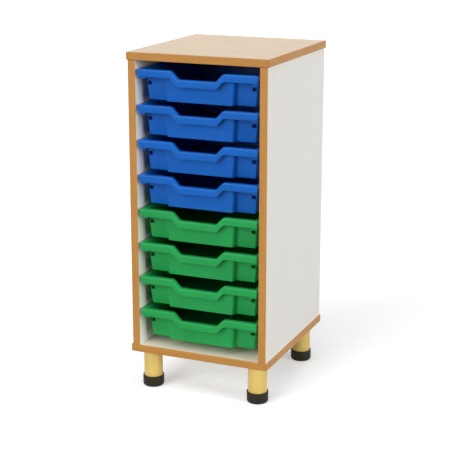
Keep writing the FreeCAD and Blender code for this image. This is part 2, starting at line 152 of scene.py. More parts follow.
class TrayUnitTray(PropertyGroup):
    """Sizes of one moulded tray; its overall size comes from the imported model."""

    wall: length("Wall", "Thickness of the moulding", 2.45 * MM)
    rim_overhang: length("Rim overhang", "How far the rim stands out from the tub", 8 * MM)
    rim_corner: length("Rim corner", "Radius of the rim's corners in plan", 3.5 * MM)
    rim_drop: length("Rim drop", "Height of the rim's outer edge", 2.95 * MM)
    side_draft: length("Side draft", "How far the sides and back lean in at the floor", 9 * MM)
    bay_draft: length("Bay draft", "How far the sides of the bay lean in at the floor", 6.5 * MM)
    front_draft: length("Front draft", "How far the front leans in at the floor", 5 * MM)
    floor_round: length("Floor round", "Radius between the walls and the floor", 3 * MM)
    rim_fold: length("Rim fold", "Inside radius where the rim turns down", 0.9 * MM)
    edge_round: length("Edge round", "Radius on the edges of the rim and the lip", 0.8 * MM)
    bay_corner: length("Bay corner", "Radius of the upright corners of the bay", 3 * MM)
    front_corner: length("Front corner", "Radius of the tub's upright front corners", 2.6 * MM)
    rear_corner: length("Rear corner", "Radius of the tub's upright rear corners", 6 * MM)
    lip_height: length("Lip height", "Height of the lip along the front", 17.9 * MM)
    lip_return: length("Lip return", "How far the lip goes round the corners", 10.5 * MM)
    lip_corner: length("Lip corner", "Radius of the lip's lower outer corners", 5.5 * MM)
    scoop_depth: length("Scoop depth", "How far the lip dips in the middle", 20 * MM)
    scoop_mouth: length("Scoop mouth", "Width of the dip at the rim", 138 * MM)
    scoop_floor: length("Scoop floor", "Width of the dip at its bottom", 100 * MM)
    scoop_round: length("Scoop round", "Radius of the bends of the dip", 10 * MM)
    bay_setback: length("Bay setback", "From the lip back to the middle bay", 13 * MM)
    bay_width: length("Bay width", "Width of the middle bay", 183 * MM)
    bay_flare: length("Bay flare", "How far the bay widens towards the flanks", 5 * MM)
    flank_setback: length("Flank setback", "From the lip back to the flanks", 28 * MM)
    shelf_depth: length("Shelf depth", "Depth of the rim along the front", 14 * MM)
    slope_drop: length("Slope drop", "Height of the slope above the flanks", 20 * MM)
    tab_width: length("Tab width", "Width of the stop tabs under the front corners", 18 * MM)
    tab_drop: length("Tab drop", "From the rim down to the foot of the stop tabs", 23.5 * MM)
    tab_corner: length("Tab corner", "Radius of the stop tabs' outer corners", 6 * MM)
    pocket_width: length("Pocket width", "Width of the small pockets in the flanks", 12 * MM)
    pocket_height: length("Pocket height", "Height of the small pockets", 9.5 * MM)
    pocket_depth: length("Pocket depth", "Depth of the small pockets", 14 * MM)
    pocket_drop: length("Pocket drop", "From the rim down to the pockets", 31 * MM)
    pocket_edge: length("Pocket edge", "From the pockets to the outer ends of the flanks", 1.3 * MM)
    pocket_wall: share("Pocket wall", "Share of the wall round the pockets", 0.25)
    lug_width: length("Lug width", "How far the stop lugs stand out of the tub", 2.5 * MM)
    lug_length: length("Lug length", "Length of the stop lugs along the tray", 8 * MM)
    lug_drop: length("Lug drop", "From the rim down to the foot of the lugs", 10 * MM)
    lug_setback: length("Lug setback", "From the lip back to the lugs", 296.8 * MM)
    skid_height: length("Skid height", "Height of the rails under the floor", 0.8 * MM)
    skid_width: length("Skid width", "Width of the rails under the floor", 3 * MM)
    skid_inset: length("Skid inset", "From the front and the rear to the rails", 84 * MM)
    skid_place: share("Skid place", "Share of the tub's half width where the rails run", 0.7)


class TrayUnitLegs(PropertyGroup):
    """Sizes of the legs and feet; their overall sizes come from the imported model."""

    tube_wall: length("Tube wall", "Wall of the tubes", 2 * MM)
    tube_edge: length("Tube edge", "Radius on the ends of the tubes", 0.6 * MM)
    socket_gap: length("Socket gap", "Between a tube and its ferrule", 0.1 * MM)
    sole_round: length("Sole round", "Radius under the ferrules", 6.5 * MM)
    sole_hole: length("Sole hole", "Radius of the air hole through the soles", 1 * MM)
    foot_rim: length("Foot rim", "Radius on the upper edge of the ferrules", 1.1 * MM)


class TrayUnitStage(PropertyGroup):
    """Camera, lamps and floor."""

    azimuth: angle("Azimuth", "Camera's turn to the right of the front", 23.10)
    elevation: angle("Elevation", "Camera's height above the horizon", 15.22)
    distance: length("Distance", "From the camera to the point it looks at", 3.25)
    aim: FloatVectorProperty(name="Aim", description="Point that the camera looks at", unit="LENGTH",
                             subtype="TRANSLATION", default=(-0.0136, 0.0103, 0.3939))
    lens: FloatProperty(name="Lens", description="Focal length in millimetres", default=100.19)
    key_strength: strength("Key light", "Strength of the lamp at the front left", 1.95)
    key_spread: angle("Key spread", "Softness of the lamp at the front left", 40)
    key_heading: heading("Key heading", "Way that the lamp at the front left shines", (0.35, 0.87, -0.34))
    fill_strength: strength("Fill light", "Strength of the lamp at the right", 2.0)
    fill_spread: angle("Fill spread", "Softness of the lamp at the right", 25)
    fill_heading: heading("Fill heading", "Way that the lamp at the right shines", (-0.96, 0.22, -0.17))
    overhead_strength: strength("Overhead light", "Strength of the lamp above", 1.6)
    overhead_spread: angle("Overhead spread", "Softness of the lamp above", 60)
    overhead_heading: heading("Overhead heading", "Way that the lamp above shines", (0.0, 0.26, -0.97))
    sky_strength: strength("Sky light", "Strength of the light all round", 0.05)
    floor_glow: strength("Floor glow", "What the camera sees added to the floor", 0.42)
    floor_bounce: share("Floor bounce", "Share of light that the floor sends back up", 0.38)
    floor_paper: colour("Floor paper", "The floor as the camera sees it", (0.84, 0.85, 0.87))
    floor_size: length("Floor size", "Side of the floor", 60.0)


# Node helpers

# Where most values of a noise lie
NOISE_RANGE = (0.3, 0.7)
WHITE = (1.0, 1.0, 1.0, 1.0)

# How well two directions agree, as a cosine: on a flat face, and on an edge
FLAT_AGREES = 0.995
EDGE_AGREES = 0.85
BEVEL_SAMPLES = 6


def plug(tree, socket, value):
    """Set an input, or link it to another node's output."""
    if isinstance(value, bpy.types.NodeSocket):
        tree.links.new(value, socket)
    else:
        socket.default_value = value


def feed(tree, node, **inputs):
    """Set or link the named inputs of a node."""
    for name, value in inputs.items():
        plug(tree, node.inputs[name.replace("_", " ")], value)


def put(tree, kind, settings=None, **inputs):
    """Add a shader node; each named input takes a value or another node's output."""
    made = tree.nodes.new("ShaderNode" + kind)
    for name, value in (settings or {}).items():
        setattr(made, name, value)
    feed(tree, made, **inputs)
    return made


def compute(tree, operation, *values, kind="Math"):
    """One step of arithmetic on values or other nodes' outputs."""
    made = put(tree, kind, {"operation": operation})
    for socket, value in zip(made.inputs, values):
        plug(tree, socket, value)
    return made.outputs["Value"]


def times(tree, first, second):
    """Two values multiplied."""
    return compute(tree, "MULTIPLY", first, second)


def opaque(tint, level=1.0):
    """A socket colour from a linear colour, made lighter or darker by a factor."""
    return (*(min(1.0, part * level) for part in tint[:3]), 1.0)


def stretched(tree, scale=(1.0, 1.0, 1.0)):
    """Object coordinates, scaled on each axis."""
    place = put(tree, "TexCoord").outputs["Object"]
    return put(tree, "Mapping", Vector=place, Scale=scale).outputs["Vector"]


def noise(tree, place, scale, detail=2.0, rough=0.5, distortion=0.0):
    """A noise value over a place."""
    return put(tree, "TexNoise", Vector=place, Scale=scale, Detail=detail, Roughness=rough,
               Distortion=distortion).outputs["Fac"]


def remap(tree, value, low, high, new_low=0.0, new_high=1.0):
    """A value moved from one range to another, and held inside it."""
    return put(tree, "MapRange", Value=value, From_Min=low, From_Max=high, To_Min=new_low,
               To_Max=new_high).outputs["Result"]


def spread_out(tree, value, low=0.0, high=1.0):
    """A noise value, which mostly stays near its middle, spread over a range."""
    return remap(tree, value, *NOISE_RANGE, low, high)


def blend_colours(tree, amount, first, second):
    """Two colours mixed by an amount."""
    return put(tree, "MixRGB", Fac=amount, Color1=first, Color2=second).outputs["Color"]


def two_tone(tree, value, tint, dark, light):
    """A tint that runs from darker to lighter with a noise value."""
    return blend_colours(tree, spread_out(tree, value), opaque(tint, dark), opaque(tint, light))


def bumped(tree, height, depth, amount):
    """A surface that rises by some amount of a depth where the height is 1."""
    return put(tree, "Bump", Height=height, Distance=depth, Strength=amount).outputs["Normal"]


def edge_share(tree, radius):
    """Rises from 0 on flat faces towards 1 on the edges."""
    soft = put(tree, "Bevel", {"samples": BEVEL_SAMPLES}, Radius=radius).outputs["Normal"]
    sharp = put(tree, "NewGeometry").outputs["Normal"]
    agree = compute(tree, "DOT_PRODUCT", soft, sharp, kind="VectorMath")
    return remap(tree, agree, FLAT_AGREES, EDGE_AGREES)


def new_finish(name):
    """An empty material with its node tree and its surface shader."""
    material = bpy.data.materials.new(name)
    material.use_nodes = True
    return material, material.node_tree, material.node_tree.nodes["Principled BSDF"]


# Finishes

# Stretch of the grain for each axis that it runs along
GRAIN_RUNS = {"X": (1.0, 14.0, 14.0), "Y": (14.0, 1.0, 14.0), "Z": (14.0, 14.0, 1.0)}

# Length of the dark seam line at the ends of the strips along each axis, partly a glue line and partly
# painted shade
JOINT_GLUE_AND_SHADE = {"X": 1.2 * MM, "Y": 0.0, "Z": 0.9 * MM}

# Linear colours of the fixings and the plugs
ZINC_DARK = (0.50, 0.51, 0.50, 1.0)
ZINC_LIGHT = (0.66, 0.66, 0.63, 1.0)
PLUG_DARK = (0.012, 0.012, 0.012, 1.0)
PLUG_LIGHT = (0.03, 0.03, 0.03, 1.0)


def grain(tree, run):
    """Broad tone, fine streaks and short flecks of beech along one axis."""
    place = stretched(tree, GRAIN_RUNS[run])
    broad = noise(tree, place, 2.2, detail=3.0, rough=0.55, distortion=0.4)
    streaks = noise(tree, place, 16.0, detail=5.0, rough=0.65)
    flecks = remap(tree, noise(tree, place, 70.0, detail=1.0), 0.63, 0.70)
    return broad, streaks, flecks


def beech_tone(tree, run, tint, dark, light, streak, fleck):
    """Beech along one axis; streak and fleck are an amount and a level. Returns the tone and streaks."""
    broad, streaks, flecks = grain(tree, run)
    tone = two_tone(tree, broad, tint, dark, light)
    amount, level = streak
    tone = blend_colours(tree, remap(tree, streaks, 0.35, 0.75, 0.0, amount), tone, opaque(tint, level))
    amount, level = fleck
    tone = blend_colours(tree, times(tree, flecks, amount), tone, opaque(tint, level))
    return tone, streaks


def beech_face_finish(tint):
    """Pale beech laminate with its grain across the unit."""
    material, tree, shader = new_finish("beech_face")
    tone, streaks = beech_tone(tree, "X", tint, dark=0.94, light=1.04, streak=(0.35, 0.84),
                               fleck=(0.30, 0.62))
    feed(tree, shader, Base_Color=tone, Roughness=spread_out(tree, streaks, 0.42, 0.52),
         Normal=bumped(tree, streaks, 0.06 * MM, 0.5))
    return material


def end_share(tree, run, strip, width):
    """Rises from 0 to 1 over the last part of a strip, at both its ends."""
    axis = "XYZ".index(run)
    low, high = (corner[axis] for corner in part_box(strip))
    along = put(tree, "SeparateXYZ", Vector=put(tree, "TexCoord").outputs["Object"]).outputs[run]
    reach = compute(tree, "ABSOLUTE", compute(tree, "SUBTRACT", along, (low + high) / 2))
    half = (high - low) / 2
    return remap(tree, reach, half - width, half - width / 2)


def beech_edge_finish(tint, run, strip, glue_and_shade_width):
    """Deeper beech edging with its grain along the strip, a painted highlight along its rounded outer edges
    and a dark seam line at its ends, partly a glue line and partly painted shade.
    """
    material, tree, shader = new_finish("beech_edge_" + run.lower())
    tone, streaks = beech_tone(tree, run, tint, dark=0.88, light=1.06, streak=(0.45, 0.74),
                               fleck=(0.4, 0.55))
    # Painted highlight: the tint is made paler along the rounded edges, where light would catch them.
    painted_arris_highlight = times(tree, edge_share(tree, 1.6 * MM), 0.45)
    tone = blend_colours(tree, painted_arris_highlight, tone, opaque(tint, 1.6))
    if glue_and_shade_width:
        # Painted shade in part: the strip's ends are darkened, standing for a glue line and for the shadow
        # in the seam between strips.
        line = times(tree, end_share(tree, run, strip, glue_and_shade_width), 0.85)
        tone = blend_colours(tree, line, tone, opaque(tint, 0.2))
    feed(tree, shader, Base_Color=tone, Roughness=spread_out(tree, streaks, 0.36, 0.5),
         Normal=bumped(tree, streaks, 0.08 * MM, 0.5), Specular_IOR_Level=0.3)
    return material


def white_board_finish(name, tint):
    """Melamine-faced board with a fine pebbled face and faint scuffs."""
    material, tree, shader = new_finish(name)
    place = stretched(tree)
    cloud = noise(tree, place, 9.0, detail=3.0)
    pebble = noise(tree, place, 1500.0, detail=2.0)
    scuff = remap(tree, noise(tree, stretched(tree, (60.0, 60.0, 7.0)), 3.0, detail=4.0), 0.62, 0.75)
    tone = two_tone(tree, cloud, tint, 0.975, 1.01)
    tone = blend_colours(tree, times(tree, scuff, 0.05), tone, opaque(tint, 0.7))
    feed(tree, shader, Base_Color=tone, Roughness=spread_out(tree, cloud, 0.40, 0.50),
         Normal=bumped(tree, pebble, 0.05 * MM, 0.35))
    return material


def tray_plastic_finish(name, tint):
    """Moulded plastic: a fine spark-eroded grain, soft cloudiness, a painted highlight along the edges and
    light scuffs.
    """
    material, tree, shader = new_finish(name)
    place = stretched(tree)
    cloud = noise(tree, place, 14.0, detail=3.0)
    spark = noise(tree, place, 1700.0, detail=2.0)
    rubbed = noise(tree, stretched(tree, (6.0, 50.0, 80.0)), 6.0, detail=5.0, rough=0.7)
    scuff = remap(tree, rubbed, 0.60, 0.74)
    tone = two_tone(tree, cloud, tint, 0.93, 1.05)
    # Painted highlight: the tint is made paler along the rounded edges, where light would catch them.
    tone = blend_colours(tree, times(tree, edge_share(tree, 1.8 * MM), 0.22), tone, opaque(tint, 1.5))
    tone = blend_colours(tree, times(tree, scuff, 0.08), tone, opaque(tint, 1.7))
    feed(tree, shader, Base_Color=tone, Roughness=remap(tree, scuff, 0.0, 1.0, 0.32, 0.46),
         Normal=bumped(tree, spark, 0.05 * MM, 0.4), Specular_IOR_Level=0.18)
    return material


def runner_plastic_finish(tint):
    """Extruded plastic of the runners, rubbed along its length."""
    material, tree, shader = new_finish("runner_plastic")
    rub = noise(tree, stretched(tree, (160.0, 4.0, 160.0)), 4.0, detail=4.0)
    feed(tree, shader, Base_Color=two_tone(tree, rub, tint, 0.9, 1.04),
         Roughness=spread_out(tree, rub, 0.35, 0.55), Normal=bumped(tree, rub, 0.03 * MM, 0.5))
    return material


def leg_paint_finish(tint):
    """Pale gold stoved paint with a slight orange peel."""
    material, tree, shader = new_finish("leg_paint")
    place = stretched(tree)
    cloud = noise(tree, place, 30.0, detail=3.0)
    peel = noise(tree, place, 420.0, detail=1.0)
    feed(tree, shader, Base_Color=two_tone(tree, cloud, tint, 0.95, 1.04),
         Roughness=spread_out(tree, cloud, 0.28, 0.36), Normal=bumped(tree, peel, 0.04 * MM, 0.5),
         Metallic=0.1, Specular_IOR_Level=0.2)
    return material


def rubber_finish(tint):
    """Black rubber with a matt skin and a little dust."""
    material, tree, shader = new_finish("black_rubber")
    place = stretched(tree)
    cloud = noise(tree, place, 60.0, detail=5.0, rough=0.6)
    skin = noise(tree, place, 1100.0, detail=2.0)
    tone = blend_colours(tree, remap(tree, cloud, 0.35, 0.75, 0.0, 0.5), opaque(tint), opaque(tint, 1.7))
    feed(tree, shader, Base_Color=tone, Roughness=spread_out(tree, cloud, 0.48, 0.62),
         Normal=bumped(tree, skin, 0.06 * MM, 0.5), Specular_IOR_Level=0.2)
    return material


def dowel_wood_finish(tint):
    """Bare wood of the dowels, with its grain upright."""
    material, tree, shader = new_finish("dowel_wood")
    broad, streaks = grain(tree, "Z")[:2]
    feed(tree, shader, Base_Color=two_tone(tree, streaks, tint, 0.8, 1.05),
         Roughness=spread_out(tree, broad, 0.6, 0.75))
    return material


def zinc_finish():
    """Zinc-plated steel of the screws, studs and inserts."""
    material, tree, shader = new_finish("zinc_steel")
    spangle = noise(tree, stretched(tree), 900.0, detail=3.0)
    tone = blend_colours(tree, spread_out(tree, spangle), ZINC_DARK, ZINC_LIGHT)
    feed(tree, shader, Base_Color=tone, Metallic=1.0, Roughness=spread_out(tree, spangle, 0.25, 0.42))
    return material


def plug_plastic_finish():
    """Black plastic of the plugs in the legs."""
    material, tree, shader = new_finish("plug_plastic")
    cloud = noise(tree, stretched(tree), 200.0, detail=3.0)
    tone = blend_colours(tree, cloud, PLUG_DARK, PLUG_LIGHT)
    feed(tree, shader, Base_Color=tone, Roughness=spread_out(tree, cloud, 0.4, 0.55))
    return material


# Mesh helpers

def dress(material, *names):
    """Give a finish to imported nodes."""
    for name in names:
        for slot in NODES[name].material_slots:
            slot.material = material


def add_piece(name, mesh, material, body, slot, *replaced):
    """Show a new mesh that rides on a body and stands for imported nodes."""
    mesh.materials.clear()
    mesh.materials.append(material)
    piece = bpy.data.objects.new(name, mesh)
    bpy.context.scene.collection.objects.link(piece)
    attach(piece, body)
    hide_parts(*replaced)


def finished_mesh(bm, name):
    """A mesh from a bmesh, shaded smooth up to an angle."""
    mesh = bpy.data.meshes.new(name)
    bm.to_mesh(mesh)
    bm.free()
    mesh.shade_smooth()
    mesh.set_sharp_from_angle(angle=SMOOTH_ANGLE)
    return mesh


def lathe(profile, middle):
    """A closed solid turned from a profile of (radius, height) points about an upright axis."""
    bm = bmesh.new()
    verts = [bm.verts.new((middle.x + radius, middle.y, height)) for radius, height in profile]
    edges = [bm.edges.new(pair) for pair in zip(verts, verts[1:] + verts[:1])]
    bmesh.ops.spin(bm, geom=verts + edges, cent=(middle.x, middle.y, 0), axis=(0, 0, 1),
                   angle=math.tau, steps=LATHE_STEPS, use_merge=True)
    bmesh.ops.remove_doubles(bm, verts=bm.verts, dist=NEAR / 10)
    bmesh.ops.recalc_face_normals(bm, faces=bm.faces)
    return bm


def arc(middle, radius, start, end, steps):
    """Flat points on an arc, angles in degrees."""
    angles = (math.radians(start + (end - start) * step / steps) for step in range(steps + 1))
    return [(middle[0] + radius * math.cos(a), middle[1] + radius * math.sin(a)) for a in angles]


def add_box(bm, low, high, radius):
    """A box with rounded edges, added to a bmesh."""
    size = [b - a for a, b in zip(low, high)]
    centre = [(a + b) / 2 for a, b in zip(low, high)]
    matrix = Matrix.Translation(centre) @ Matrix.Diagonal((*size, 1.0))
    made = bmesh.ops.create_cube(bm, size=1.0, matrix=matrix)
    edges = list({edge for vert in made["verts"] for edge in vert.link_edges})
    bmesh.ops.bevel(bm, geom=edges, offset=radius, affect="EDGES", segments=EDGE_STEPS, profile=0.5,
                    material=-1)


# Tray

def piecewise(value, old, new):
    """A value carried from one row of stations to another, straight between them."""
    for index in range(len(old) - 1):
        if value <= old[index + 1] or index == len(old) - 2:
            part = (value - old[index]) / (old[index + 1] - old[index])
            return new[index] + part * (new[index + 1] - new[index])


def scoop_height(tray, x):
    """Height of the wavy front line at a place across the tray."""
    mouth, floor = tray.scoop_mouth / 2, tray.scoop_floor / 2
    tilt = math.atan2(tray.scoop_depth, mouth - floor)
    reach = tray.scoop_round * math.tan(tilt / 2)
    x = abs(x)
    if x >= mouth + reach:
        return 0.0
    if x <= floor - reach:
        return -tray.scoop_depth
    upper = mouth - reach * math.cos(tilt)
    lower = floor + reach * math.cos(tilt)
    if x > upper:
        return -tray.scoop_round + math.sqrt(tray.scoop_round ** 2 - (mouth + reach - x) ** 2)
    if x < lower:
        rise = tray.scoop_round - math.sqrt(tray.scoop_round ** 2 - (x - floor + reach) ** 2)
        return -tray.scoop_depth + rise
    return -(mouth - x) * math.tan(tilt)


class TubLevel:
    """Stations of the tub's outside at one height: across the tray, and from its front to its rear."""

    def __init__(self, tray, z):
        draft = -z / TRAY_HEIGHT
        side = TRAY_WIDTH / 2 - tray.rim_overhang - tray.side_draft * draft
        rear = TRAY_DEPTH - tray.rim_overhang - tray.side_draft * draft
        bay_half = tray.bay_width / 2 - tray.bay_draft * draft
        shelf = z > -tray.slope_drop
        flank = tray.shelf_depth if shelf else tray.flank_setback + tray.front_draft * draft
        bay = tray.bay_setback + tray.front_draft * draft
        self.z = z
        self.across = (0.0, bay_half, bay_half + tray.bay_flare, side)
        self.along = (bay, flank, rear)


def carried(point, old, new):
    """A point of the tub's outline, carried from one level to another."""
    x = math.copysign(piecewise(abs(point.x), old.across, new.across), point.x)
    y = piecewise(point.y, old.along, new.along)
    return Vector((x, y, new.z))


def raised(bm, edges, move):
    """Extrude edges and move the new row of points; returns the new edges."""
    made = bmesh.ops.extrude_edge_only(bm, edges=edges)["geom"]
    for vert in (item for item in made if isinstance(item, bmesh.types.BMVert)):
        vert.co = move(vert.co)
    return [item for item in made if isinstance(item, bmesh.types.BMEdge) and item.is_boundary]


def tub_floor(bm, tray, level):
    """The floor's face with rounded corners and extra points along the bay; returns its outline."""
    bay_half, root, side = level.across[1:]
    bay, flank, rear = level.along
    half = [(bay_half, bay), (root, flank), (side, flank), (side, rear)]
    plan = [(-x, y) for x, y in half[::-1]] + half
    verts = [bm.verts.new((x, y, level.z)) for x, y in plan]
    bm.faces.new(verts)
    rear_verts = [vert for vert in verts if vert.co.y > flank + tray.rear_corner]
    bay_verts = [vert for vert in verts if abs(vert.co.x) < root + tray.wall]
    front_verts = [vert for vert in verts if vert not in rear_verts + bay_verts]
    for corner_verts, radius in ((rear_verts, tray.rear_corner), (front_verts, tray.front_corner),
                                 (bay_verts, tray.bay_corner)):
        bmesh.ops.bevel(bm, geom=corner_verts, offset=radius, affect="VERTICES", segments=CORNER_STEPS,
                        profile=0.5, material=-1)
    front_edge = max((e for e in bm.edges if max(v.co.y for v in e.verts) < bay + NEAR),
                     key=lambda e: e.calc_length())
    bmesh.ops.subdivide_edges(bm, edges=[front_edge], cuts=SCOOP_COLUMNS)
    return list(bm.edges)


def tray_sheet(tray):
    """One sheet: the outside of the tub, the underside of the rim and the back of the lip.

    The lip's front, once the sheet has its wall, is at y = 0, and the top of the rim at z = 0.
    """
    bm = bmesh.new()
    weight = bm.edges.layers.float.new("bevel_weight_edge")
    heights = (tray.skid_height - TRAY_HEIGHT, -tray.slope_drop - tray.rim_drop, -tray.wall)
    foot, shoulder, rim_level = (TubLevel(tray, z) for z in heights)
    ring = tub_floor(bm, tray, foot)
    bm.faces.ensure_lookup_table()
    bm.faces[0].normal_flip()
    for edge in ring:
        edge[weight] = 1.0
    ring = raised(bm, ring, lambda co: carried(co, foot, shoulder))
    side = rim_level.across[3]
    front, rear = rim_level.along[1:]

    def to_rim(co):
        place = carried(co, shoulder, rim_level)
        if place.y < front + 10 * NEAR:
            place.z += scoop_height(tray, place.x)
        return place

    ring = raised(bm, ring, to_rim)
    half = TRAY_WIDTH / 2
    old_across = (0.0, tray.bay_width / 2, side - tray.front_corner, side)
    new_across = (0.0, tray.bay_width / 2, half - tray.rim_corner, half - tray.wall)
    old_along = (front, front + tray.front_corner, rear - tray.rear_corner, rear)
    new_along = (tray.wall, tray.rim_corner, TRAY_DEPTH - tray.rim_corner, TRAY_DEPTH - tray.wall)

    def to_outer(co):
        x = math.copysign(piecewise(abs(co.x), old_across, new_across), co.x)
        y = max(piecewise(co.y, old_along, new_along), tray.wall)
        z = -tray.wall + (scoop_height(tray, x) if y < tray.rim_corner else 0.0)
        return Vector((x, y, z))

    ring = raised(bm, ring, to_outer)
    rim = list({face for edge in ring for face in edge.link_faces})
    rim_edges = list({edge for face in rim for edge in face.edges})
    bmesh.ops.bisect_plane(bm, geom=rim + rim_edges, plane_co=(0, tray.lip_return, 0), plane_no=(0, 1, 0))
    ring = [edge for edge in bm.edges if edge.is_boundary]
    for edge in ring:
        edge[weight] = tray.rim_fold / tray.floor_round
    ring = raised(bm, ring, lambda co: co - Vector((0, 0, tray.rim_drop - tray.wall)))

    def to_lip_foot(co):
        start = half - tray.rim_corner
        past = max(abs(co.x) - start, 0.0) * tray.rim_corner / (tray.rim_corner - tray.wall)
        corner = max(min(abs(co.x), start) + past - half + tray.lip_corner, 0.0)
        rise = tray.lip_corner - math.sqrt(max(tray.lip_corner ** 2 - corner ** 2, 0.0))
        return co - Vector((0, 0, tray.lip_height - tray.rim_drop - rise))

    lip = [edge for edge in ring if all(v.co.y < tray.lip_return + NEAR for v in edge.verts)]
    raised(bm, lip, to_lip_foot)
    return bm


def flank_faces(bm, tray, level, sign):
    """Upright front faces of the tub's flank on one side."""
    def on_flank(face):
        middle = face.calc_center_median()
        faces_front = abs(face.normal.y) > FACES_FRONT
        in_depth = tray.bay_setback < middle.y < 2 * tray.flank_setback
        return faces_front and in_depth and sign * middle.x > level.across[2] and middle.z < -tray.slope_drop

    return [face for face in bm.faces if on_flank(face)]


def cut_pockets(bm, tray):
    """Push a small pocket into each flank, near its outer end."""
    level = TubLevel(tray, -tray.pocket_drop - tray.pocket_height / 2)
    wall_share = bm.verts.layers.deform.verify()
    for vert in bm.verts:
        vert[wall_share][0] = 1.0
    outer = level.across[3] - tray.pocket_edge
    inner = outer - tray.pocket_width
    top, bottom = -tray.pocket_drop, -tray.pocket_drop - tray.pocket_height
    for sign in (-1, 1):
        for place, normal in (((sign * inner, 0, 0), (1, 0, 0)), ((sign * outer, 0, 0), (1, 0, 0)),
                              ((0, 0, top), (0, 0, 1)), ((0, 0, bottom), (0, 0, 1))):
            faces = flank_faces(bm, tray, level, sign)
            edges = list({edge for face in faces for edge in face.edges})
            bmesh.ops.bisect_plane(bm, geom=faces + edges, plane_co=place, plane_no=normal)
        mouth = [face for face in flank_faces(bm, tray, level, sign)
                 if inner < sign * face.calc_center_median().x < outer
                 and bottom < face.calc_center_median().z < top]
        made = bmesh.ops.extrude_face_region(bm, geom=mouth)["geom"]
        verts = [item for item in made if isinstance(item, bmesh.types.BMVert)]
        rims = {vert for face in mouth for vert in face.verts}
        bmesh.ops.delete(bm, geom=mouth, context="FACES")
        bmesh.ops.translate(bm, verts=verts, vec=(0, tray.pocket_depth, 0))
        for vert in (*rims, *verts):
            vert[wall_share][0] = tray.pocket_wall


def thickened(bm, tray):
    """The sheet given its wall, with its floor and the fold of its rim rounded; returns a new bmesh."""
    mesh = bpy.data.meshes.new("tray_sheet")
    bm.to_mesh(mesh)
    bm.free()
    sheet = bpy.data.objects.new("tray_sheet", mesh)
    bpy.context.scene.collection.objects.link(sheet)
    sheet.vertex_groups.new(name="wall_share")
    floor = sheet.modifiers.new("Floor round", "BEVEL")
    floor.limit_method = "WEIGHT"
    floor.width = tray.floor_round
    floor.segments = FLOOR_STEPS
    wall = sheet.modifiers.new("Wall", "SOLIDIFY")
    wall.thickness = tray.wall
    wall.offset = -1.0
    wall.use_even_offset = True
    wall.vertex_group = "wall_share"
    made = bpy.data.meshes.new_from_object(sheet.evaluated_get(bpy.context.evaluated_depsgraph_get()))
    solid = bmesh.new()
    solid.from_mesh(made)
    bpy.data.objects.remove(sheet)
    for used in (mesh, made):
        bpy.data.meshes.remove(used)
    return solid


def round_rim(bm, tray):
    """Round the outward edges of the rim and of the lip."""
    def is_rim(edge):
        above_slope = all(vert.co.z > -tray.slope_drop - MM for vert in edge.verts)
        on_lip = all(vert.co.y < tray.lip_return + NEAR for vert in edge.verts)
        return edge.is_manifold and (above_slope or on_lip)

    edges = [edge for edge in bm.edges if is_rim(edge) and edge.calc_face_angle_signed() > FOLD_ANGLE]
    bmesh.ops.bevel(bm, geom=edges, offset=tray.edge_round, affect="EDGES", segments=EDGE_STEPS, profile=0.5,
                    material=-1)
    bmesh.ops.dissolve_degenerate(bm, dist=NEAR, edges=bm.edges)


def add_stop_tab(bm, tray, sign):
    """A tab under the rim's front corner, with its outer lower corner rounded."""
    outer = TRAY_WIDTH / 2 - tray.wall / 4
    inner = outer - tray.tab_width
    top, corner = -tray.wall / 2, tray.tab_corner
    bend = arc((outer - corner, corner - tray.tab_drop), corner, 0, -90, CORNER_STEPS)
    plan = [(inner, top), (outer, top), *bend, (inner, -tray.tab_drop)]
    face = bm.faces.new([bm.verts.new((sign * x, tray.lip_return, z)) for x, z in plan])
    made = bmesh.ops.extrude_face_region(bm, geom=[face])["geom"]
    moved = [item for item in made if isinstance(item, bmesh.types.BMVert)]
    bmesh.ops.translate(bm, verts=moved, vec=(0, -tray.wall, 0))


def tray_solid(tray):
    """One whole tray in a bmesh, with its front at y = 0 and its rim at z = 0."""
    sheet = tray_sheet(tray)
    cut_pockets(sheet, tray)
    bm = thickened(sheet, tray)
    round_rim(bm, tray)
    tub_half = TRAY_WIDTH / 2 - tray.rim_overhang
    rail = tub_half * tray.skid_place
    for sign in (-1, 1):
        add_stop_tab(bm, tray, sign)
        inner, outer = sorted((sign * (tub_half - tray.wall / 2), sign * (tub_half + tray.lug_width)))
        add_box(bm, (inner, tray.lug_setback, -tray.lug_drop),
                (outer, tray.lug_setback + tray.lug_length, -tray.wall / 2), tray.edge_round / 2)
        left, right = sorted((sign * rail, sign * (rail + tray.skid_width)))
        add_box(bm, (left, tray.skid_inset, -TRAY_HEIGHT),
                (right, TRAY_DEPTH - tray.skid_inset, tray.wall / 2 - TRAY_HEIGHT), tray.skid_height / 2)
    return bm


# Operators

class TRAYUNIT_OT_boards(Operator):
    """Give the top, the base, the sides and the back their laminate and melamine"""

    bl_idname = "tray_unit.boards"
    bl_label = "Boards"

    def execute(self, context):
        colours = context.scene.tray_unit_colours
        dress(beech_face_finish(colours.beech_face), "top_panel")
        # The base's melamine takes a painted warm light: its white tint is made warmer and paler.
        dress(white_board_finish("warm_board", colours.warm_board), "base_panel")
        white = white_board_finish("white_board", colours.white_board)
        dress(white, "left_side_panel", "right_side_panel", "back_panel")
        return {"FINISHED"}


class TRAYUNIT_OT_edging(Operator):
    """Give the edging strips their beech, with the grain along each strip"""

    bl_idname = "tray_unit.edging"
    bl_label = "Edging"

    def execute(self, context):
        tint = context.scene.tray_unit_colours.beech_edge
        runs = {"X": ("top_edging_front", "top_edging_back", "base_edging_front", "base_edging_back"),
                "Y": ("top_edging_left", "top_edging_right", "base_edging_left", "base_edging_right"),
                "Z": ("left_side_edging", "right_side_edging")}
        for run, strips in runs.items():
            dress(beech_edge_finish(tint, run, strips[0], JOINT_GLUE_AND_SHADE[run]), *strips)
        return {"FINISHED"}


